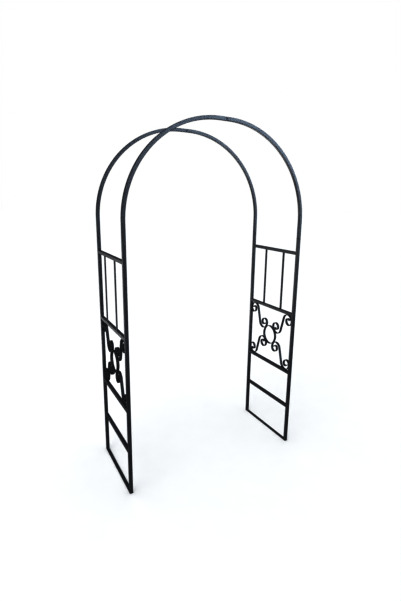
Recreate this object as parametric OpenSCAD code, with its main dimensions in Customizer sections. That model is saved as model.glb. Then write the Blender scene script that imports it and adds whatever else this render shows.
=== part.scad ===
// Garden trellis arch: two ladder-like side panels joined overhead by two hoops.
// Millimetres. X runs across the walkway, -Y is the front, +Z is up.
// The origin is on the ground, midway between the four legs.

/* [Overall] */
// Distance between the centre lines of the left and right legs
leg_spacing = 1190; // [1170:10:1700]
// Distance between the centre lines of the front and rear legs
frame_depth = 515; // [470:5:640]
// Height of the joint between each leg and its hoop
leg_top = 1525; // [1475:5:1535]
// Overall height, to the top of the hoops
overall_height = 2195; // [2175:1:2400]
// Centre-line radius of the hoops' bends; the short crown between them is straight
bend_radius = 565; // [535:5:570]

/* [Tube] */
// Side of the square tube used for legs, hoops and crossbars
tube_side = 20; // [18:1:24]
// Wall thickness of the square tube
tube_wall = 1.2; // [1:0.1:2]
// Outside corner radius of the square tube
tube_corner = 2; // [1:0.5:3]

/* [Crossbars] */
// Height of the top crossbar's centre line
top_bar_height = 1406; // [1330:1:1420]
// Height of the upper crossbar's centre line, above the scrollwork
upper_bar_height = 975; // [968:1:1010]
// Height of the lower crossbar's centre line, below the scrollwork
lower_bar_height = 540; // [500:1:547]
// Height of the bottom crossbar's centre line
bottom_bar_height = 278; // [150:1:430]

/* [Flat bars] */
// Edge radius of the foot bars, the vertical bars and the bent strip
flat_corner = 0.8; // [0.4:0.1:1.2]

/* [Foot bars] */
// Thickness of the flat bar under the legs
foot_thickness = 6; // [3:1:8]

/* [Vertical bars] */
// Distance between the two vertical bars of a panel
vertical_bar_spacing = 204; // [80:2:380]
// Width of a vertical bar, along the panel
vertical_bar_width = 16; // [10:1:20]
// Thickness of a vertical bar, across the panel
vertical_bar_thickness = 6; // [4:1:10]

/* [Scrollwork] */
// Width of the bent strip, across the panel
strip_width = 18; // [12:1:20]
// Thickness of the bent strip
strip_thickness = 4; // [3:0.5:5]
// Centre-line radius of the ring in the middle of the panel
ring_radius = 68; // [65:1:71]
// Centre-line radius of the large hook at each end of a scroll
hook_radius = 45; // [43:1:47]
// Centre-line radius of the half turn that follows the hook
curl_radius = 29.5; // [28:0.5:31]
// Centre-line radius of the last turn, around the eye
eye_radius = 18; // [16:1:20]
// Sweep of the last turn, in degrees
eye_sweep = 160; // [90:5:180]
// Direction from the ring's centre to the centre of a scroll's inner hook, in degrees
inner_hook_direction = 44; // [42:1:46]

/* [Joints] */
// Depth and height of the rebate around a tube's end, which leaves a fine groove at each seam
seam_rebate = 0.6; // [0.3:0.1:0.9]
// Length of the sleeve inside each joint
sleeve_length = 120; // [80:5:120]
// Gap between a sleeve and the tube around it, on each side
sleeve_gap = 0.1; // [0.05:0.05:0.3]
// Distance from a seam to the bolt that crosses the sleeve
bolt_distance = 20; // [15:1:30]
// Diameter of the bolt shank
bolt_diameter = 6; // [4:1:6]

/* [Hidden] */

$fn = 96;
coated_black = [0.10, 0.10, 0.11];
bare_steel = [0.45, 0.45, 0.47];

left = -1;
right = 1;
front = -1;
rear = 1;
upper = 1;
lower = -1;

half_spacing = leg_spacing / 2;
half_depth = frame_depth / 2;
half_tube = tube_side / 2;
spring_height = overall_height - half_tube - bend_radius;
half_crown = half_spacing - bend_radius;
clear_depth = frame_depth - tube_side;

sleeve_side = tube_side - 2 * tube_wall - 2 * sleeve_gap;
crown_height = overall_height - half_tube;
sleeve_in_crown = min(sleeve_length / 2, 2 * half_crown);
sleeve_bend = sleeve_length / 2 / bend_radius * 180 / PI;

bolt_hole_gap = 0.25;
thread_gap = 0.05;
head_diameter = bolt_diameter * 1.9;
head_height = bolt_diameter * 0.55;
socket_width = bolt_diameter * 0.65;
nut_width = bolt_diameter * 1.67;
nut_height = bolt_diameter * 0.85;
washer_diameter = bolt_diameter * 2;
washer_thickness = 1.2;
bolt_end_spare = 1.5;
shank_length = tube_side + washer_thickness + nut_height + bolt_end_spare;

// Scrollwork in one quarter of the panel: u runs from the ring towards the leg,
// v from the ring towards the crossbar.
panel_middle = (upper_bar_height + lower_bar_height) / 2;
leg_face = half_depth - half_tube;
bar_face = (upper_bar_height - lower_bar_height) / 2 - half_tube;
outer_hook = [
    leg_face - hook_radius - strip_thickness / 2,
    bar_face - hook_radius - strip_thickness / 2
];
inner_hook_distance = ring_radius + hook_radius + strip_thickness;
inner_hook = [
    hundredths(inner_hook_distance * cos(inner_hook_direction)),
    hundredths(inner_hook_distance * sin(inner_hook_direction))
];
scroll_middle = (outer_hook + inner_hook) / 2;
half_span = (outer_hook - inner_hook) / 2;
half_diagonal = sqrt(half_span * half_span - hook_radius * hook_radius);
diagonal_direction = atan2(half_span[1], half_span[0]) + atan2(hook_radius, half_diagonal);
hook_sweep = diagonal_direction + 90;

// The scrollwork lies flush with the inner faces of the tubes, and the vertical bars with the outer
strip_offset = (tube_side - strip_width) / 2;
vertical_bar_offset = (tube_side - vertical_bar_thickness) / 2;

// The straight diagonal runs a little way into the hooks, and is this much thinner on each face
diagonal_overlap = 0.3;
diagonal_step = 0.01;

function hundredths(value) = round(value * 100) / 100;

// ---- shared shapes ----

// A rectangle with rounded corners, centred
module rounded_rectangle(width, height, corner) {
    square([width, height - 2 * corner], center = true);
    square([width - 2 * corner, height], center = true);
    for (x = [-1, 1])
        for (y = [-1, 1])
            translate([x * (width / 2 - corner), y * (height / 2 - corner)])
                circle(r = corner);
}

// Cross-section of the square tube, centred, with this much taken off its outside
module tube_section(rebate = 0) {
    difference() {
        rounded_rectangle(tube_side - 2 * rebate, tube_side - 2 * rebate, tube_corner - rebate);
        square(tube_side - 2 * tube_wall, center = true);
    }
}

// Cross-section of the smaller square tube that slides inside
module sleeve_section() {
    difference() {
        square(sleeve_side, center = true);
        square(sleeve_side - 2 * tube_wall, center = true);
    }
}

// One quarter of a hoop's bend: starts at the crown's end and turns down to the right
module bend(angle) {
    translate([half_crown, 0, spring_height])
        rotate([90, 0, 0])
            rotate([0, 0, 90])
                mirror([0, 1, 0])
                    rotate_extrude(angle = angle, $fn = 360)
                        translate([bend_radius, 0])
                            children();
}

// A straight tube along X, at the height of the crown
module crown_tube(from, to) {
    translate([from, 0, crown_height])
        rotate([90, 0, 90])
            linear_extrude(to - from)
                children();
}

// Stands a piece at one leg's centre line
module at_leg(side, end) {
    translate([side * half_spacing, end * half_depth, 0])
        children();
}

// Bent strip: turns to the left about the origin, from the +X axis
module strip_turn(radius, sweep) {
    rotate_extrude(angle = sweep)
        translate([radius, 0])
            rounded_rectangle(strip_thickness, strip_width, flat_corner);
}

// One end of a scroll, around the hook's centre: hook, half turn, then the turn around the eye
module scroll_end() {
    strip_turn(hook_radius, hook_sweep);
    translate([hook_radius - curl_radius, 0, 0])
        rotate([0, 0, 180])
            strip_turn(curl_radius, 180);
    translate([hook_radius - 2 * curl_radius + eye_radius, 0, 0])
        mirror([1, 0, 0])
            strip_turn(eye_radius, eye_sweep);
}

// One S-shaped scroll, flat in the XY plane with u along X and v along Y
module scroll_shape() {
    translate(outer_hook)
        scroll_end();
    translate(inner_hook)
        rotate([0, 0, 180])
            scroll_end();
    translate(scroll_middle)
        rotate([0, 0, diagonal_direction])
            scroll_diagonal();
}

// The straight stretch between a scroll's two hooks, along X and centred
module scroll_diagonal() {
    half_length = half_diagonal + diagonal_overlap;
    translate([-half_length, 0, 0])
        rotate([90, 0, 90])
            linear_extrude(2 * half_length)
                rounded_rectangle(
                    strip_thickness - 2 * diagonal_step,
                    strip_width - 2 * diagonal_step,
                    flat_corner
                );
}

// Stands a shape drawn in u and v upright in a panel
module in_panel(side, end, level) {
    translate([side * (half_spacing - strip_offset), 0, panel_middle])
        mirror([0, end == front ? 1 : 0, 0])
            mirror([0, 0, level == lower ? 1 : 0])
                rotate([90, 0, 90])
                    children();
}

// ---- panel pieces ----

module leg(side, end) {
    color(coated_black)
        difference() {
            at_leg(side, end) {
                translate([0, 0, foot_thickness])
                    linear_extrude(leg_top - seam_rebate - foot_thickness)
                        tube_section();
                translate([0, 0, leg_top - seam_rebate])
                    linear_extrude(seam_rebate)
                        tube_section(seam_rebate);
            }
            leg_bolt_place(side, end)
                bolt_hole();
        }
}

module crossbar(side, height) {
    color(coated_black)
        translate([side * half_spacing, clear_depth / 2, height])
            rotate([90, 0, 0])
                linear_extrude(clear_depth)
                    tube_section();
}

module foot_bar(side) {
    color(coated_black)
        translate([side * half_spacing, (frame_depth + tube_side) / 2, foot_thickness / 2])
            rotate([90, 0, 0])
                linear_extrude(frame_depth + tube_side)
                    rounded_rectangle(tube_side, foot_thickness, flat_corner);
}

module vertical_bar(side, end) {
    color(coated_black)
        translate([
            side * (half_spacing + vertical_bar_offset),
            end * vertical_bar_spacing / 2,
            upper_bar_height + half_tube
        ])
            linear_extrude(top_bar_height - upper_bar_height - tube_side)
                rounded_rectangle(vertical_bar_thickness, vertical_bar_width, flat_corner);
}

module centre_ring(side) {
    color(coated_black)
        in_panel(side, rear, upper)
            strip_turn(ring_radius, 360);
}

module scroll(side, end, level) {
    color(coated_black)
        in_panel(side, end, level)
            scroll_shape();
}

// ---- hoops ----

// Each half is one tube: a straight stretch above the leg, then the bend. The left half goes on
// as the straight crown, so the seam is at the crown's right end.
module hoop_half(end, side) {
    color(coated_black)
        difference() {
            union() {
                at_leg(side, end)
                    translate([0, 0, leg_top])
                        linear_extrude(spring_height - leg_top)
                            tube_section();
                translate([0, end * half_depth, 0])
                    mirror([side == left ? 1 : 0, 0, 0])
                        bend(90)
                            tube_section();
                if (side == left)
                    translate([0, end * half_depth, 0]) {
                        crown_tube(-half_crown, half_crown - seam_rebate)
                            tube_section();
                        crown_tube(half_crown - seam_rebate, half_crown)
                            tube_section(seam_rebate);
                    }
            }
            apex_bolt_place(end)
                bolt_hole();
        }
}

// ---- joints ----

module leg_sleeve(side, end) {
    color(bare_steel)
        difference() {
            at_leg(side, end)
                translate([0, 0, leg_top - sleeve_length / 2])
                    linear_extrude(sleeve_length)
                        sleeve_section();
            leg_bolt_place(side, end)
                bolt_hole();
        }
}

module apex_sleeve(end) {
    color(bare_steel)
        difference() {
            translate([0, end * half_depth, 0]) {
                crown_tube(half_crown - sleeve_in_crown, half_crown)
                    sleeve_section();
                bend(sleeve_bend)
                    sleeve_section();
            }
            apex_bolt_place(end)
                bolt_hole();
        }
}

// A joint's bolt runs along its own +X, from the head's underside. The heads lie on the front
// faces of the front frame and the rear faces of the rear frame, and the nuts face each other.
module bolt_place(x, end, z) {
    translate([x, end * (half_depth + half_tube), z])
        rotate([0, 0, -90 * end])
            children();
}

module leg_bolt_place(side, end) {
    bolt_place(side * half_spacing, end, leg_top - bolt_distance)
        children();
}

module apex_bolt_place(end) {
    bolt_place(half_crown - bolt_distance, end, crown_height)
        children();
}

module at_every_joint() {
    for (end = [front, rear]) {
        for (side = [left, right])
            leg_bolt_place(side, end)
                children();
        apex_bolt_place(end)
            children();
    }
}

// A cylinder along +X
module along_x(from, length, diameter) {
    translate([from, 0, 0])
        rotate([0, 90, 0])
            cylinder(h = length, d = diameter);
}

module bolt_hole() {
    along_x(-1, tube_side + 2, bolt_diameter + 2 * bolt_hole_gap);
}

module joint_bolt() {
    dome_radius = (pow(head_diameter / 2, 2) + pow(head_height, 2)) / (2 * head_height);
    socket_depth = head_height * 0.6;
    along_x(0, shank_length, bolt_diameter);
    difference() {
        intersection() {
            along_x(-head_height, head_height, head_diameter);
            translate([dome_radius - head_height, 0, 0])
                sphere(r = dome_radius);
        }
        translate([-head_height - 1, 0, 0])
            rotate([0, 90, 0])
                cylinder(h = socket_depth + 1, d = socket_width, $fn = 6);
    }
}

module joint_washer() {
    difference() {
        along_x(tube_side, washer_thickness, washer_diameter);
        along_x(tube_side - 1, washer_thickness + 2, bolt_diameter + 2 * bolt_hole_gap);
    }
}

module joint_nut() {
    difference() {
        translate([tube_side + washer_thickness, 0, 0])
            rotate([0, 90, 0])
                cylinder(h = nut_height, d = nut_width / cos(30), $fn = 6);
        along_x(tube_side, washer_thickness + nut_height + 1, bolt_diameter + 2 * thread_gap);
    }
}

module joint_bolts() {
    color(coated_black)
        at_every_joint()
            joint_bolt();
}

module joint_washers() {
    color(coated_black)
        at_every_joint()
            joint_washer();
}

module joint_nuts() {
    color(coated_black)
        at_every_joint()
            joint_nut();
}

leg(left, front);  // left_front_leg
leg(left, rear);  // left_rear_leg
crossbar(left, top_bar_height);  // left_top_crossbar
crossbar(left, upper_bar_height);  // left_upper_crossbar
crossbar(left, lower_bar_height);  // left_lower_crossbar
crossbar(left, bottom_bar_height);  // left_bottom_crossbar
foot_bar(left);  // left_foot_bar
vertical_bar(left, front);  // left_front_vertical_bar
vertical_bar(left, rear);  // left_rear_vertical_bar
centre_ring(left);  // left_centre_ring
scroll(left, front, upper);  // left_upper_front_scroll
scroll(left, rear, upper);  // left_upper_rear_scroll
scroll(left, front, lower);  // left_lower_front_scroll
scroll(left, rear, lower);  // left_lower_rear_scroll
leg(right, front);  // right_front_leg
leg(right, rear);  // right_rear_leg
crossbar(right, top_bar_height);  // right_top_crossbar
crossbar(right, upper_bar_height);  // right_upper_crossbar
crossbar(right, lower_bar_height);  // right_lower_crossbar
crossbar(right, bottom_bar_height);  // right_bottom_crossbar
foot_bar(right);  // right_foot_bar
vertical_bar(right, front);  // right_front_vertical_bar
vertical_bar(right, rear);  // right_rear_vertical_bar
centre_ring(right);  // right_centre_ring
scroll(right, front, upper);  // right_upper_front_scroll
scroll(right, rear, upper);  // right_upper_rear_scroll
scroll(right, front, lower);  // right_lower_front_scroll
scroll(right, rear, lower);  // right_lower_rear_scroll
hoop_half(front, left);  // front_hoop_left_half
hoop_half(front, right);  // front_hoop_right_half
hoop_half(rear, left);  // rear_hoop_left_half
hoop_half(rear, right);  // rear_hoop_right_half
leg_sleeve(left, front);  // front_left_leg_sleeve
leg_sleeve(right, front);  // front_right_leg_sleeve
leg_sleeve(left, rear);  // rear_left_leg_sleeve
leg_sleeve(right, rear);  // rear_right_leg_sleeve
apex_sleeve(front);  // front_apex_sleeve
apex_sleeve(rear);  // rear_apex_sleeve
joint_bolts();
joint_washers();
joint_nuts();
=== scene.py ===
"""Looks of the garden trellis arch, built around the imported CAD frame.

The CAD pieces keep their shapes and get procedural materials. The weld beads at their joins are
added here, as pieces of their own. Metres, in the CAD's frame: X across the walkway, -Y the front,
+Z up, origin on the ground.
"""

import math

import bpy
from mathutils import Matrix, Vector


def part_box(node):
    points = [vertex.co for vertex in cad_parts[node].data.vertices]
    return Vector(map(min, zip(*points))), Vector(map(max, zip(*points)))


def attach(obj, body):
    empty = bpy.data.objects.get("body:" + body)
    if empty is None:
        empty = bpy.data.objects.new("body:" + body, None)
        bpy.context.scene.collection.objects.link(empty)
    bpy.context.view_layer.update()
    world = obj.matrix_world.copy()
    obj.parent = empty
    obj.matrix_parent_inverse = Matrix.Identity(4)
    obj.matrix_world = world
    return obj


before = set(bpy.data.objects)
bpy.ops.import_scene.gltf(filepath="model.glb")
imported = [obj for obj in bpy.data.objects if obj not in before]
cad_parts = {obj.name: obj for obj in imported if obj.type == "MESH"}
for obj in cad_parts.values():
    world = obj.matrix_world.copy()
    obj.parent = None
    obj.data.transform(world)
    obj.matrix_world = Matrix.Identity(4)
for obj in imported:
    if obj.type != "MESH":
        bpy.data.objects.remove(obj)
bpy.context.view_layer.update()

# Which way each lies from the middle: sides along X, ends along Y, levels along Z
SIDES = {"left": -1, "right": 1}
ENDS = {"front": -1, "rear": 1}
LEVELS = {"upper": 1, "lower": -1}
CROSSBARS = ("top", "upper", "lower", "bottom")

X_AXIS = Vector((1.0, 0.0, 0.0))
Y_AXIS = Vector((0.0, 1.0, 0.0))
Z_AXIS = Vector((0.0, 0.0, 1.0))

# ---- camera ----

# Standing eye height, in front of the arch and left of it. Angles in radians, and the lens and the
# sensor in millimetres
CAMERA_PLACE = (-1.2453, -2.3795, 1.7394)
CAMERA_YAW = 0.54085
CAMERA_PITCH = 0.23251
CAMERA_ROLL = -0.0268
CAMERA_SENSOR = 36.0
CAMERA_LENS = 24.604
CAMERA_SHIFT = (-0.0398, -0.0040)
CAMERA_REACH = 200.0
# Under 1 the view darkens all but white, like the photo's contrasty print
VIEW_GAMMA = 0.5

# ---- floor and light ----

FLOOR_HALF = 60.0
FLOOR_DARK = (0.915, 0.915, 0.915)
FLOOR_LIGHT = (0.930, 0.930, 0.930)
FLOOR_ROUGHNESS = 0.9

# What reflections meet, from straight down (0) to straight up (1): towards FRONT_AXIS, which is to
# the right front, a bright pale band just above the horizon and dark ground under it, and elsewhere
# only a faint glow
FRONT_AXIS = (0.82, -0.57, 0.0)
# Cosines of the angle from that axis at which the front sky begins, and at which it is full
FRONT_BEGINS = 0.60
FRONT_FULL = 0.96
FRONT_SKY = (
    (0.00, (0.01, 0.01, 0.01)),
    (0.36, (0.02, 0.02, 0.02)),
    (0.44, (0.80, 0.82, 0.86)),
    (0.50, (2.60, 2.65, 2.80)),
    (0.54, (5.60, 6.00, 6.80)),
    (0.58, (14.0, 17.2, 21.2)),
    (0.61, (17.5, 22.4, 28.0)),
    (0.66, (0.90, 1.10, 1.35)),
    (1.00, (0.20, 0.22, 0.25)),
)
BACK_SKY = (
    (0.00, (0.06, 0.06, 0.06)),
    (0.20, (0.22, 0.22, 0.23)),
    (0.30, (0.17, 0.17, 0.18)),
    (0.41, (0.45, 0.45, 0.47)),
    (0.53, (0.22, 0.23, 0.24)),
    (0.59, (0.16, 0.17, 0.19)),
    (0.64, (0.30, 0.32, 0.36)),
    (0.68, (0.12, 0.12, 0.13)),
    (1.00, (0.10, 0.10, 0.11)),
)
# What matte surfaces are lit by from all round
FILL_COLOUR = (0.96, 0.98, 1.0)
FILL_STRENGTH = 1.0
SUN_STRENGTH = 0.8
SUN_COLOUR = (1.0, 0.98, 0.95)
SUN_SPREAD = math.radians(50)
SUN_FROM = (-0.80, -0.45, 0.60)

# Soft panels of light, which the camera doesn't see: place, what it faces, width, height, brightness
PANELS = {
    "left_panel": ((-3.6, 3.0, 0.55), (0.0, 0.0, 0.7), 3.0, 1.1, 4.6),
    "floor_panel": ((0.6, 2.9, 0.02), (0.6, 2.9, 2.0), 3.6, 1.9, 3.4),
}

# ---- finishes ----

COAT_DARK = (0.034, 0.0350, 0.039)
COAT_LIGHT = (0.054, 0.0560, 0.063)
COAT_THIN = (0.13, 0.13, 0.137)
# Radius over which an edge's normal is rounded to find where it wears
COAT_EDGE = 0.0008
# Strength of the mirror-like part of the coat: 0.5 is a plain lacquer
SATIN_SHINE = 0.5
DULL_SHINE = 0.2
# Each coat: where its pattern starts, its roughness, how worn its edges are, and its shine
COATS = {
    "leg": ((0.0, 0.0, 0.0), 0.36, 0.45, SATIN_SHINE),
    "crossbar": ((3.1, 1.7, 0.4), 0.36, 0.40, SATIN_SHINE),
    "flat_bar": ((7.3, 2.9, 5.2), 0.48, 0.35, DULL_SHINE),
    "scrollwork": ((1.9, 8.3, 6.1), 0.48, 0.35, DULL_SHINE),
    "hoop": ((4.7, 6.3, 9.9), 0.33, 0.35, SATIN_SHINE),
    "weld": ((9.1, 5.7, 3.3), 0.34, 0.25, SATIN_SHINE),
}

# Noise patterns: features in a metre, octaves, and relief in metres
CLOUD_SCALE = 7.0
CLOUD_DETAIL = 3.0
MOTTLE_SCALE = 75.0
MOTTLE_DETAIL = 4.0
MOTTLE_DEPTH = 0.00003
PEBBLE_SCALE = 620.0
PEBBLE_DETAIL = 1.0
PEBBLE_DEPTH = 0.00003
# The part of a noise pattern's values that holds nearly all of it
NOISE_BAND = (0.20, 0.80)
# The parts of it over which the pale clouds, the rubbed patches and the dust come in
CLOUD_BAND = (0.35, 0.65)
SCUFF_BAND = (0.48, 0.64)
DUST_BAND = (0.40, 0.70)
# Of the way from the dark shade to the light one, how much is due to each pattern
CLOUD_SHADE = 0.6
MOTTLE_SHADE = 0.4
# How far the coat's roughness falls and rises, by each pattern
CLOUD_SMOOTHER = 0.05
CLOUD_ROUGHER = 0.07
MOTTLE_SMOOTHER = 0.03
MOTTLE_ROUGHER = 0.05
DUST = (0.12, 0.112, 0.10)
DUST_HEIGHT = 0.25
DUST_SHARE = 0.07
# Edge wear: cosines of the lean of a rounded normal, where wear begins and where it is full
LEAN_BEGINS = 0.995
LEAN_FULL = 0.90
BEVEL_SAMPLES = 4

OXIDE_DARK = (0.068, 0.070, 0.077)
OXIDE_LIGHT = (0.115, 0.119, 0.130)
OXIDE_WORN = (0.20, 0.20, 0.21)
OXIDE_EDGE = 0.0005
OXIDE_METALLIC = 0.4
OXIDE_ROUGHNESS = (0.42, 0.58)
OXIDE_START = (5.5, 0.8, 2.2)
OXIDE_SCALE = 150.0
# The part of the mottle over which corners are worn, and how worn they are
WORN_BAND = (0.45, 0.65)
WORN_SHARE = 0.5
MACHINED_SCALE = 1400.0
MACHINED_DETAIL = 1.0
MACHINED_DEPTH = 0.00001

STEEL_DARK = (0.30, 0.30, 0.32)
STEEL_LIGHT = (0.46, 0.46, 0.48)
RUST = (0.13, 0.055, 0.022)
# The part of the mottle over which rust comes in, how much it hides, and what it does to the metal
RUST_BAND = (0.62, 0.70)
RUST_SHARE = 0.7
RUST_ROUGHER = 0.4
RUST_METALLIC = 0.3
DRAWN_ROUGHNESS = (0.26, 0.42)
DRAWN_SCALE = 900.0
DRAWN_DETAIL = 2.0
# Features along the tube for each one across it
DRAWN_STRETCH = 0.02
# Each sleeve's steel: where its pattern starts, and its scale along X, Y and Z
SLEEVE_STEELS = {
    "leg": ((2.4, 4.4, 1.1), (1.0, 1.0, DRAWN_STRETCH)),
    "apex": ((6.6, 3.5, 0.7), (DRAWN_STRETCH, 1.0, 1.0)),
}

# ---- welds ----

# Radius of a bead in an inside corner, of one that fills the notch between a crossbar's side and a
# leg's rounded corner, of one in a groove between flush faces, and of a scroll's tack or a vertical
# bar's bead
FILLET_RADIUS = 0.0026
NOTCH_RADIUS = 0.0020
GROOVE_RADIUS = 0.0012
TACK_RADIUS = 0.0022
# How much shorter a bead is than the face it crosses
BEAD_INSET = 0.004
# Where a tack lies beside the line on which a scroll touches its neighbour, and its length
TACK_DISTANCE = 0.0085
TACK_LENGTH = 0.012
RIPPLE_PITCH = 0.0021
RIPPLE_DEPTH = 0.15
RINGS_PER_RIPPLE = 4
FEWEST_RINGS = 6
BEAD_SIDES = 12
# How much further off than a strip's nearest point another may be and still count as touching
CONTACT_SPREAD = 0.00002


def build_camera():
    """A camera with a slight roll, looking down a little at the arch."""
    forward = Vector((
        math.sin(CAMERA_YAW) * math.cos(CAMERA_PITCH),
        math.cos(CAMERA_YAW) * math.cos(CAMERA_PITCH),
        -math.sin(CAMERA_PITCH),
    ))
    level_right = Vector((math.cos(CAMERA_YAW), -math.sin(CAMERA_YAW), 0.0))
    level_down = forward.cross(level_right)
    right = level_right * math.cos(CAMERA_ROLL) + level_down * math.sin(CAMERA_ROLL)
    up = right.cross(forward)
    turn = Matrix((right, up, -forward)).transposed()

    data = bpy.data.cameras.new("camera")
    data.sensor_width = CAMERA_SENSOR
    data.lens = CAMERA_LENS
    data.shift_x, data.shift_y = CAMERA_SHIFT
    data.clip_end = CAMERA_REACH
    camera = bpy.data.objects.new("camera", data)
    bpy.context.scene.collection.objects.link(camera)
    camera.matrix_world = Matrix.Translation(CAMERA_PLACE) @ turn.to_4x4()
    bpy.context.scene.camera = camera


# ---- node helpers ----


def add(tree, kind, values=None, **settings):
    """A new node, with its settings and the constants of its named inputs."""
    node = tree.nodes.new(kind)
    for name, value in settings.items():
        setattr(node, name, value)
    for name, value in (values or {}).items():
        node.inputs[name].default_value = value
    return node


def feed(tree, socket, value):
    """Links a node's output to a socket, or sets the socket's constant."""
    if isinstance(value, bpy.types.NodeSocket):
        tree.links.new(value, socket)
    elif isinstance(value, tuple) and socket.type == "RGBA":
        socket.default_value = (*value, 1.0)
    else:
        socket.default_value = value


def object_place(tree):
    """Where a point is on the object, in metres."""
    return add(tree, "ShaderNodeTexCoord").outputs["Object"]


def shifted(tree, place, offset, scale=(1.0, 1.0, 1.0)):
    """The place, moved and stretched, so that a pattern falls differently."""
    mapping = add(tree, "ShaderNodeMapping", {"Location": offset, "Scale": scale})
    tree.links.new(place, mapping.inputs["Vector"])
    return mapping.outputs["Vector"]


def noise(tree, place, scale, detail):
    """Noise from 0 to 1, with about so many features in a metre, and so many octaves."""
    texture = add(tree, "ShaderNodeTexNoise", {"Scale": scale, "Detail": detail})
    tree.links.new(place, texture.inputs["Vector"])
    return texture.outputs["Fac"]


def ranged(tree, value, from_low, from_high, to_low=0.0, to_high=1.0):
    """The value carried from one range to another, and kept inside it."""
    node = add(tree, "ShaderNodeMapRange", {
        "From Min": from_low, "From Max": from_high, "To Min": to_low, "To Max": to_high,
    })
    tree.links.new(value, node.inputs["Value"])
    return node.outputs["Result"]


def joined(tree, operation, first, second):
    """Two values joined by an operation such as ADD."""
    node = add(tree, "ShaderNodeMath", operation=operation)
    feed(tree, node.inputs[0], first)
    feed(tree, node.inputs[1], second)
    return node.outputs["Value"]


def mixed(tree, factor, first, second):
    """The first colour where the factor is 0, the second where it is 1."""
    node = add(tree, "ShaderNodeMix", data_type="RGBA")
    inputs = {socket.identifier: socket for socket in node.inputs}
    feed(tree, inputs["Factor_Float"], factor)
    feed(tree, inputs["A_Color"], first)
    feed(tree, inputs["B_Color"], second)
    return next(socket for socket in node.outputs if socket.identifier == "Result_Color")


def edge_mask(tree, radius):
    """1 along edges and 0 on flat faces: how far a normal, rounded over a radius, leans from the true."""
    rounded = add(tree, "ShaderNodeBevel", {"Radius": radius}, samples=BEVEL_SAMPLES)
    flat = add(tree, "ShaderNodeNewGeometry")
    lean = add(tree, "ShaderNodeVectorMath", operation="DOT_PRODUCT")
    tree.links.new(rounded.outputs["Normal"], lean.inputs[0])
    tree.links.new(flat.outputs["True Normal"], lean.inputs[1])
    return ranged(tree, lean.outputs["Value"], LEAN_BEGINS, LEAN_FULL)


def near_ground(tree, place):
    """1 at the ground, falling to 0 where dust no longer settles."""
    parts = add(tree, "ShaderNodeSeparateXYZ")
    tree.links.new(place, parts.inputs["Vector"])
    return ranged(tree, parts.outputs["Z"], DUST_HEIGHT, 0.0)


def bumped(tree, height, depth, under=None):
    """A normal with relief of this depth, on top of another bump's."""
    node = add(tree, "ShaderNodeBump", {"Distance": depth})
    tree.links.new(height, node.inputs["Height"])
    if under is not None:
        tree.links.new(under, node.inputs["Normal"])
    return node.outputs["Normal"]


def new_material(name):
    """A material, its node tree and its Principled shader."""
    material = bpy.data.materials.new(name)
    material.use_nodes = True
    tree = material.node_tree
    return material, tree, tree.nodes["Principled BSDF"]


# ---- materials ----


def powder_coat(kind):
    """Black powder coat: cloudy, finely pebbled, rubbed thin along edges, dusty near the ground."""
    start, roughness, wear, shine = COATS[kind]
    material, tree, shader = new_material(f"{kind}_coat")
    place = object_place(tree)
    moved = shifted(tree, place, start)
    clouds = noise(tree, moved, CLOUD_SCALE, CLOUD_DETAIL)
    mottle = noise(tree, moved, MOTTLE_SCALE, MOTTLE_DETAIL)
    pebbles = noise(tree, moved, PEBBLE_SCALE, PEBBLE_DETAIL)

    broad_shade = ranged(tree, clouds, *CLOUD_BAND, 0.0, CLOUD_SHADE)
    fine_shade = ranged(tree, mottle, *NOISE_BAND, 0.0, MOTTLE_SHADE)
    colour = mixed(tree, joined(tree, "ADD", broad_shade, fine_shade), COAT_DARK, COAT_LIGHT)
    scuffs = ranged(tree, mottle, *SCUFF_BAND, 0.0, wear)
    rubbed = joined(tree, "MULTIPLY", edge_mask(tree, COAT_EDGE), scuffs)
    colour = mixed(tree, rubbed, colour, COAT_THIN)
    settled = ranged(tree, mottle, *DUST_BAND, 0.0, DUST_SHARE)
    dusty = joined(tree, "MULTIPLY", near_ground(tree, place), settled)
    colour = mixed(tree, dusty, colour, DUST)
    feed(tree, shader.inputs["Base Color"], colour)

    smoothest = roughness - CLOUD_SMOOTHER
    roughest = roughness + CLOUD_ROUGHER
    broad_rough = ranged(tree, clouds, *NOISE_BAND, smoothest, roughest)
    fine_rough = ranged(tree, mottle, *NOISE_BAND, -MOTTLE_SMOOTHER, MOTTLE_ROUGHER)
    rough = joined(tree, "ADD", joined(tree, "ADD", broad_rough, fine_rough), dusty)
    feed(tree, shader.inputs["Roughness"], rough)
    shader.inputs["Specular IOR Level"].default_value = shine
    relief = bumped(tree, mottle, MOTTLE_DEPTH, bumped(tree, pebbles, PEBBLE_DEPTH))
    feed(tree, shader.inputs["Normal"], relief)
    return material


def black_oxide():
    """Blackened steel of the fasteners: dull dark grey, paler at worn corners."""
    material, tree, shader = new_material("fastener_oxide")
    moved = shifted(tree, object_place(tree), OXIDE_START)
    mottle = noise(tree, moved, OXIDE_SCALE, MOTTLE_DETAIL)
    marks = noise(tree, moved, MACHINED_SCALE, MACHINED_DETAIL)
    colour = mixed(tree, ranged(tree, mottle, *NOISE_BAND), OXIDE_DARK, OXIDE_LIGHT)
    patches = ranged(tree, mottle, *WORN_BAND, 0.0, WORN_SHARE)
    worn = joined(tree, "MULTIPLY", edge_mask(tree, OXIDE_EDGE), patches)
    feed(tree, shader.inputs["Base Color"], mixed(tree, worn, colour, OXIDE_WORN))
    feed(tree, shader.inputs["Roughness"], ranged(tree, mottle, *NOISE_BAND, *OXIDE_ROUGHNESS))
    feed(tree, shader.inputs["Normal"], bumped(tree, marks, MACHINED_DEPTH))
    shader.inputs["Metallic"].default_value = OXIDE_METALLIC
    return material


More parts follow.
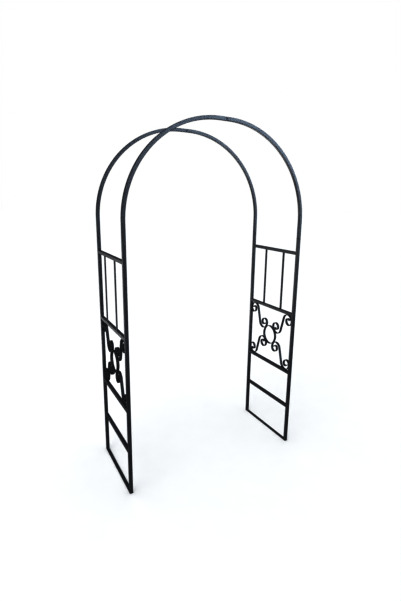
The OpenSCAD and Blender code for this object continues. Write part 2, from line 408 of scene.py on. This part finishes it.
def drawn_steel(kind):
    """Bare steel of the sleeves: fine drawing lines along the tube, and a few rust freckles."""
    start, stretch = SLEEVE_STEELS[kind]
    material, tree, shader = new_material(f"{kind}_sleeve_steel")
    place = object_place(tree)
    lines = noise(tree, shifted(tree, place, start, stretch), DRAWN_SCALE, DRAWN_DETAIL)
    mottle = noise(tree, shifted(tree, place, start), MOTTLE_SCALE, MOTTLE_DETAIL)
    colour = mixed(tree, ranged(tree, lines, *NOISE_BAND), STEEL_DARK, STEEL_LIGHT)
    freckles = ranged(tree, mottle, *RUST_BAND, 0.0, RUST_SHARE)
    feed(tree, shader.inputs["Base Color"], mixed(tree, freckles, colour, RUST))
    drawn_rough = ranged(tree, lines, *NOISE_BAND, *DRAWN_ROUGHNESS)
    rust_rough = joined(tree, "MULTIPLY", freckles, RUST_ROUGHER)
    feed(tree, shader.inputs["Roughness"], joined(tree, "ADD", drawn_rough, rust_rough))
    feed(tree, shader.inputs["Metallic"], ranged(tree, mottle, *RUST_BAND, 1.0, RUST_METALLIC))
    feed(tree, shader.inputs["Normal"], bumped(tree, lines, MACHINED_DEPTH))
    return material


def matte_floor(name):
    """A plain pale floor, with a trace of unevenness in its colour."""
    material, tree, shader = new_material(name)
    clouds = noise(tree, object_place(tree), CLOUD_SCALE, CLOUD_DETAIL)
    shade = ranged(tree, clouds, *NOISE_BAND)
    feed(tree, shader.inputs["Base Color"], mixed(tree, shade, FLOOR_DARK, FLOOR_LIGHT))
    shader.inputs["Roughness"].default_value = FLOOR_ROUGHNESS
    shader.inputs["Specular IOR Level"].default_value = 0.0
    return material


def paint(node, material):
    """Gives a CAD piece its material."""
    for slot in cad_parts[node].material_slots:
        slot.material = material


def paint_frame():
    """Materials of every CAD piece. Each kind of piece has its own, so that patterns don't repeat."""
    legs = powder_coat("leg")
    bars = powder_coat("crossbar")
    flats = powder_coat("flat_bar")
    strips = powder_coat("scrollwork")
    hoops = powder_coat("hoop")
    fasteners = black_oxide()
    upright_steel = drawn_steel("leg")
    level_steel = drawn_steel("apex")

    for side in SIDES:
        paint(f"{side}_foot_bar", flats)
        paint(f"{side}_centre_ring", strips)
        for level in CROSSBARS:
            paint(f"{side}_{level}_crossbar", bars)
        for end in ENDS:
            paint(f"{side}_{end}_leg", legs)
            paint(f"{side}_{end}_vertical_bar", flats)
            paint(f"{end}_hoop_{side}_half", hoops)
            paint(f"{end}_{side}_leg_sleeve", upright_steel)
            for level in LEVELS:
                paint(f"{side}_{level}_{end}_scroll", strips)
    for end in ENDS:
        paint(f"{end}_apex_sleeve", level_steel)
    for fastener in ("joint_bolts", "joint_washers", "joint_nuts"):
        paint(fastener, fasteners)


# ---- welds ----


class Beads:
    """Weld beads gathered into one mesh, each a closed form of its own."""

    def __init__(self):
        self.points = []
        self.faces = []

    def add(self, middle, along, length, radius):
        """A rippled bead with round ends, centred at the middle, along a unit vector."""
        across = along.orthogonal().normalized()
        other = along.cross(across)
        ring_count = max(FEWEST_RINGS, round(length / RIPPLE_PITCH * RINGS_PER_RIPPLE))
        first = len(self.points)
        start = middle - along * (length / 2)
        self.points.append(start)
        for ring in range(1, ring_count):
            travel = length * ring / ring_count
            self.add_ring(start + along * travel, across, other, bead_radius(travel, length, radius))
        self.points.append(start + along * length)
        self.add_faces(first, ring_count - 1)

    def add_ring(self, centre, across, other, radius):
        """A ring of points, in the plane of two unit vectors."""
        for step in range(BEAD_SIDES):
            angle = 2 * math.pi * step / BEAD_SIDES
            outward = across * math.cos(angle) + other * math.sin(angle)
            self.points.append(centre + outward * radius)

    def add_faces(self, first, rings):
        """Sides between the rings, and a fan at each end."""
        last = first + 1 + rings * BEAD_SIDES
        for step in range(BEAD_SIDES):
            after = (step + 1) % BEAD_SIDES
            self.faces.append((first, first + 1 + after, first + 1 + step))
            for ring in range(rings - 1):
                here = first + 1 + ring * BEAD_SIDES
                there = here + BEAD_SIDES
                self.faces.append((here + step, here + after, there + after, there + step))
            here = last - BEAD_SIDES
            self.faces.append((here + step, here + after, last))

    def build(self, name, material):
        """Makes the piece, and has it ride with the frame."""
        mesh = bpy.data.meshes.new(name)
        mesh.from_pydata(self.points, [], self.faces)
        mesh.polygons.foreach_set("use_smooth", [True] * len(mesh.polygons))
        mesh.materials.append(material)
        piece = bpy.data.objects.new(name, mesh)
        bpy.context.scene.collection.objects.link(piece)
        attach(piece, "root")


def bead_radius(travel, length, radius):
    """Radius at a distance along a bead: round at both ends, and stepped by the ripples between."""
    near = min(travel, length - travel)
    end = math.sqrt(max(0.0, 1.0 - (1.0 - min(near / radius, 1.0)) ** 2))
    phase = (travel / RIPPLE_PITCH) % 1.0
    return radius * end * (1.0 - RIPPLE_DEPTH * (1.0 - math.sin(math.pi * phase)))


def middle_of(low, high):
    """The point or the value half-way between two."""
    return (low + high) / 2


def crossbar_welds(side, material):
    """Beads round both ends of each crossbar: fillets above and below, filled notches at the sides."""
    beads = Beads()
    for level in CROSSBARS:
        low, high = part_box(f"{side}_{level}_crossbar")
        centre = middle_of(low, high)
        length = high.x - low.x - BEAD_INSET
        for end in ENDS.values():
            y = high.y if end > 0 else low.y
            for z in (low.z, high.z):
                beads.add(Vector((centre.x, y, z)), X_AXIS, length, FILLET_RADIUS)
            for x in (low.x + NOTCH_RADIUS, high.x - NOTCH_RADIUS):
                beads.add(Vector((x, y, centre.z)), Z_AXIS, length, NOTCH_RADIUS)
    beads.build(f"{side}_crossbar_welds", material)


def vertical_bar_welds(side, material):
    """Beads round both ends of each vertical bar: fillets on three sides, a filled groove outside."""
    beads = Beads()
    for end in ENDS:
        low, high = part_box(f"{side}_{end}_vertical_bar")
        centre = middle_of(low, high)
        width = high.y - low.y
        inner, outer = (high.x, low.x) if SIDES[side] < 0 else (low.x, high.x)
        outer -= SIDES[side] * GROOVE_RADIUS
        for z in (low.z, high.z):
            for y in (low.y, high.y):
                middle = Vector((middle_of(inner, outer), y, z))
                beads.add(middle, X_AXIS, abs(outer - inner), TACK_RADIUS)
            beads.add(Vector((inner, centre.y, z)), Y_AXIS, width, TACK_RADIUS)
            beads.add(Vector((outer, centre.y, z)), Y_AXIS, width, GROOVE_RADIUS)
    beads.build(f"{side}_vertical_bar_welds", material)


def foot_welds(side, material):
    """Beads round the bottom of each leg, on the foot bar: a fillet inside, filled grooves elsewhere."""
    beads = Beads()
    for end in ENDS:
        low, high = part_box(f"{side}_{end}_leg")
        centre = middle_of(low, high)
        length = high.x - low.x - BEAD_INSET
        inner, outer = (high.y, low.y) if ENDS[end] < 0 else (low.y, high.y)
        outer -= ENDS[end] * GROOVE_RADIUS
        beads.add(Vector((centre.x, inner, low.z)), X_AXIS, length, FILLET_RADIUS)
        beads.add(Vector((centre.x, outer, low.z)), X_AXIS, length, GROOVE_RADIUS)
        for x in (low.x + GROOVE_RADIUS, high.x - GROOVE_RADIUS):
            beads.add(Vector((x, centre.y, low.z)), Y_AXIS, length, GROOVE_RADIUS)
    beads.build(f"{side}_foot_welds", material)


def touch_point(node, distance):
    """The middle of the points of a bent strip that lie at the least distance from what it touches."""
    points = [vertex.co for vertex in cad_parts[node].data.vertices]
    reach = min(distance(point) for point in points)
    touching = [point for point in points if distance(point) < reach + CONTACT_SPREAD]
    return sum(touching, Vector()) / len(touching)


def outermost(node, direction):
    """Where a bent strip touches a flat face square to the direction."""
    return touch_point(node, lambda point: -point.dot(direction))


def nearest(node, centre):
    """Where a bent strip touches a ring, whose axis runs along X through the centre."""
    return touch_point(node, lambda point: math.hypot(point.y - centre.y, point.z - centre.z))


def scroll_welds(side, material):
    """Two tacks beside each line on which a scroll touches a leg, a crossbar or the centre ring."""
    beads = Beads()
    ring_low, ring_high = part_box(f"{side}_centre_ring")
    ring_centre = middle_of(ring_low, ring_high)
    for end, toward_leg in ENDS.items():
        for level, toward_bar in LEVELS.items():
            scroll = f"{side}_{level}_{end}_scroll"
            at_leg = outermost(scroll, Y_AXIS * toward_leg)
            at_bar = outermost(scroll, Z_AXIS * toward_bar)
            at_ring = nearest(scroll, ring_centre)
            outward = at_ring - ring_centre
            outward.x = 0.0
            contacts = (
                (at_leg, Y_AXIS * toward_leg),
                (at_bar, Z_AXIS * toward_bar),
                (at_ring, outward.normalized()),
            )
            for place, normal in contacts:
                beside = X_AXIS.cross(normal) * TACK_DISTANCE
                for middle in (place - beside, place + beside):
                    middle.x = ring_centre.x
                    beads.add(middle, X_AXIS, TACK_LENGTH, TACK_RADIUS)
    beads.build(f"{side}_scroll_welds", material)


def build_welds():
    """The beads of both panels, under the frame's black coat."""
    coat = powder_coat("weld")
    for side in SIDES:
        crossbar_welds(side, coat)
        vertical_bar_welds(side, coat)
        scroll_welds(side, coat)
        foot_welds(side, coat)


# ---- surroundings ----


def build_floor():
    """A wide pale floor, which reflections don't meet, so that the black faces stay dark."""
    mesh = bpy.data.meshes.new("floor")
    corners = [(x * FLOOR_HALF, y * FLOOR_HALF, 0.0) for x, y in ((-1, -1), (1, -1), (1, 1), (-1, 1))]
    mesh.from_pydata(corners, [], [(0, 1, 2, 3)])
    mesh.materials.append(matte_floor("floor_matte"))
    floor = bpy.data.objects.new("floor", mesh)
    bpy.context.scene.collection.objects.link(floor)
    floor.visible_glossy = False


def colour_steps(tree, factor, steps):
    """A colour that changes with the factor, by steps of a position and a colour."""
    ramp = add(tree, "ShaderNodeValToRGB")
    elements = ramp.color_ramp.elements
    while len(elements) < len(steps):
        elements.new(1.0)
    for element, (position, colour) in zip(elements, steps):
        element.position = position
        element.color = (*colour, 1.0)
    tree.links.new(factor, ramp.inputs["Fac"])
    return ramp.outputs["Color"]


def build_world():
    """Plain white to the camera, a soft white fill on matte surfaces, and two skies in reflections."""
    world = bpy.data.worlds.new("world")
    bpy.context.scene.world = world
    world.use_nodes = True
    tree = world.node_tree
    rays = add(tree, "ShaderNodeLightPath")

    direction = add(tree, "ShaderNodeTexCoord").outputs["Generated"]
    parts = add(tree, "ShaderNodeSeparateXYZ")
    tree.links.new(direction, parts.inputs["Vector"])
    straight_down, straight_up = -1.0, 1.0
    height = ranged(tree, parts.outputs["Z"], straight_down, straight_up)
    frontness = add(tree, "ShaderNodeVectorMath", operation="DOT_PRODUCT")
    tree.links.new(direction, frontness.inputs[0])
    frontness.inputs[1].default_value = FRONT_AXIS
    to_front = ranged(tree, frontness.outputs["Value"], FRONT_BEGINS, FRONT_FULL)
    front_sky = colour_steps(tree, height, FRONT_SKY)
    back_sky = colour_steps(tree, height, BACK_SKY)

    fill = add(tree, "ShaderNodeBackground", {"Color": (*FILL_COLOUR, 1.0), "Strength": FILL_STRENGTH})
    reflected = add(tree, "ShaderNodeBackground")
    tree.links.new(mixed(tree, to_front, back_sky, front_sky), reflected.inputs["Color"])
    backdrop = add(tree, "ShaderNodeBackground", {"Color": (1.0, 1.0, 1.0, 1.0)})

    lit = add(tree, "ShaderNodeMixShader")
    tree.links.new(rays.outputs["Is Glossy Ray"], lit.inputs["Fac"])
    tree.links.new(fill.outputs[0], lit.inputs[1])
    tree.links.new(reflected.outputs[0], lit.inputs[2])
    seen = add(tree, "ShaderNodeMixShader")
    tree.links.new(rays.outputs["Is Camera Ray"], seen.inputs["Fac"])
    tree.links.new(lit.outputs[0], seen.inputs[1])
    tree.links.new(backdrop.outputs[0], seen.inputs[2])
    output = next(node for node in tree.nodes if node.type == "OUTPUT_WORLD")
    tree.links.new(seen.outputs[0], output.inputs["Surface"])


def build_sun():
    """A very soft key light from the front left, which lays a faint shadow at the feet."""
    data = bpy.data.lights.new("key", "SUN")
    data.energy = SUN_STRENGTH
    data.color = SUN_COLOUR
    data.angle = SUN_SPREAD
    key = bpy.data.objects.new("key", data)
    key.rotation_euler = Vector(SUN_FROM).to_track_quat("Z", "Y").to_euler()
    bpy.context.scene.collection.objects.link(key)


def build_panels():
    """Large soft panels of light, whose glow shows in the satin coat."""
    for name, (place, target, width, height, brightness) in PANELS.items():
        data = bpy.data.lights.new(name, "AREA")
        data.shape = "RECTANGLE"
        data.size = width
        data.size_y = height
        # The watts at which a panel of this size has this brightness
        data.energy = brightness * math.pi * width * height
        panel = bpy.data.objects.new(name, data)
        panel.location = place
        panel.rotation_euler = (Vector(place) - Vector(target)).to_track_quat("Z", "Y").to_euler()
        panel.visible_camera = False
        bpy.context.scene.collection.objects.link(panel)


build_camera()
paint_frame()
build_welds()
build_floor()
build_world()
build_sun()
build_panels()
bpy.context.scene.view_settings.view_transform = "Standard"
bpy.context.scene.view_settings.gamma = VIEW_GAMMA
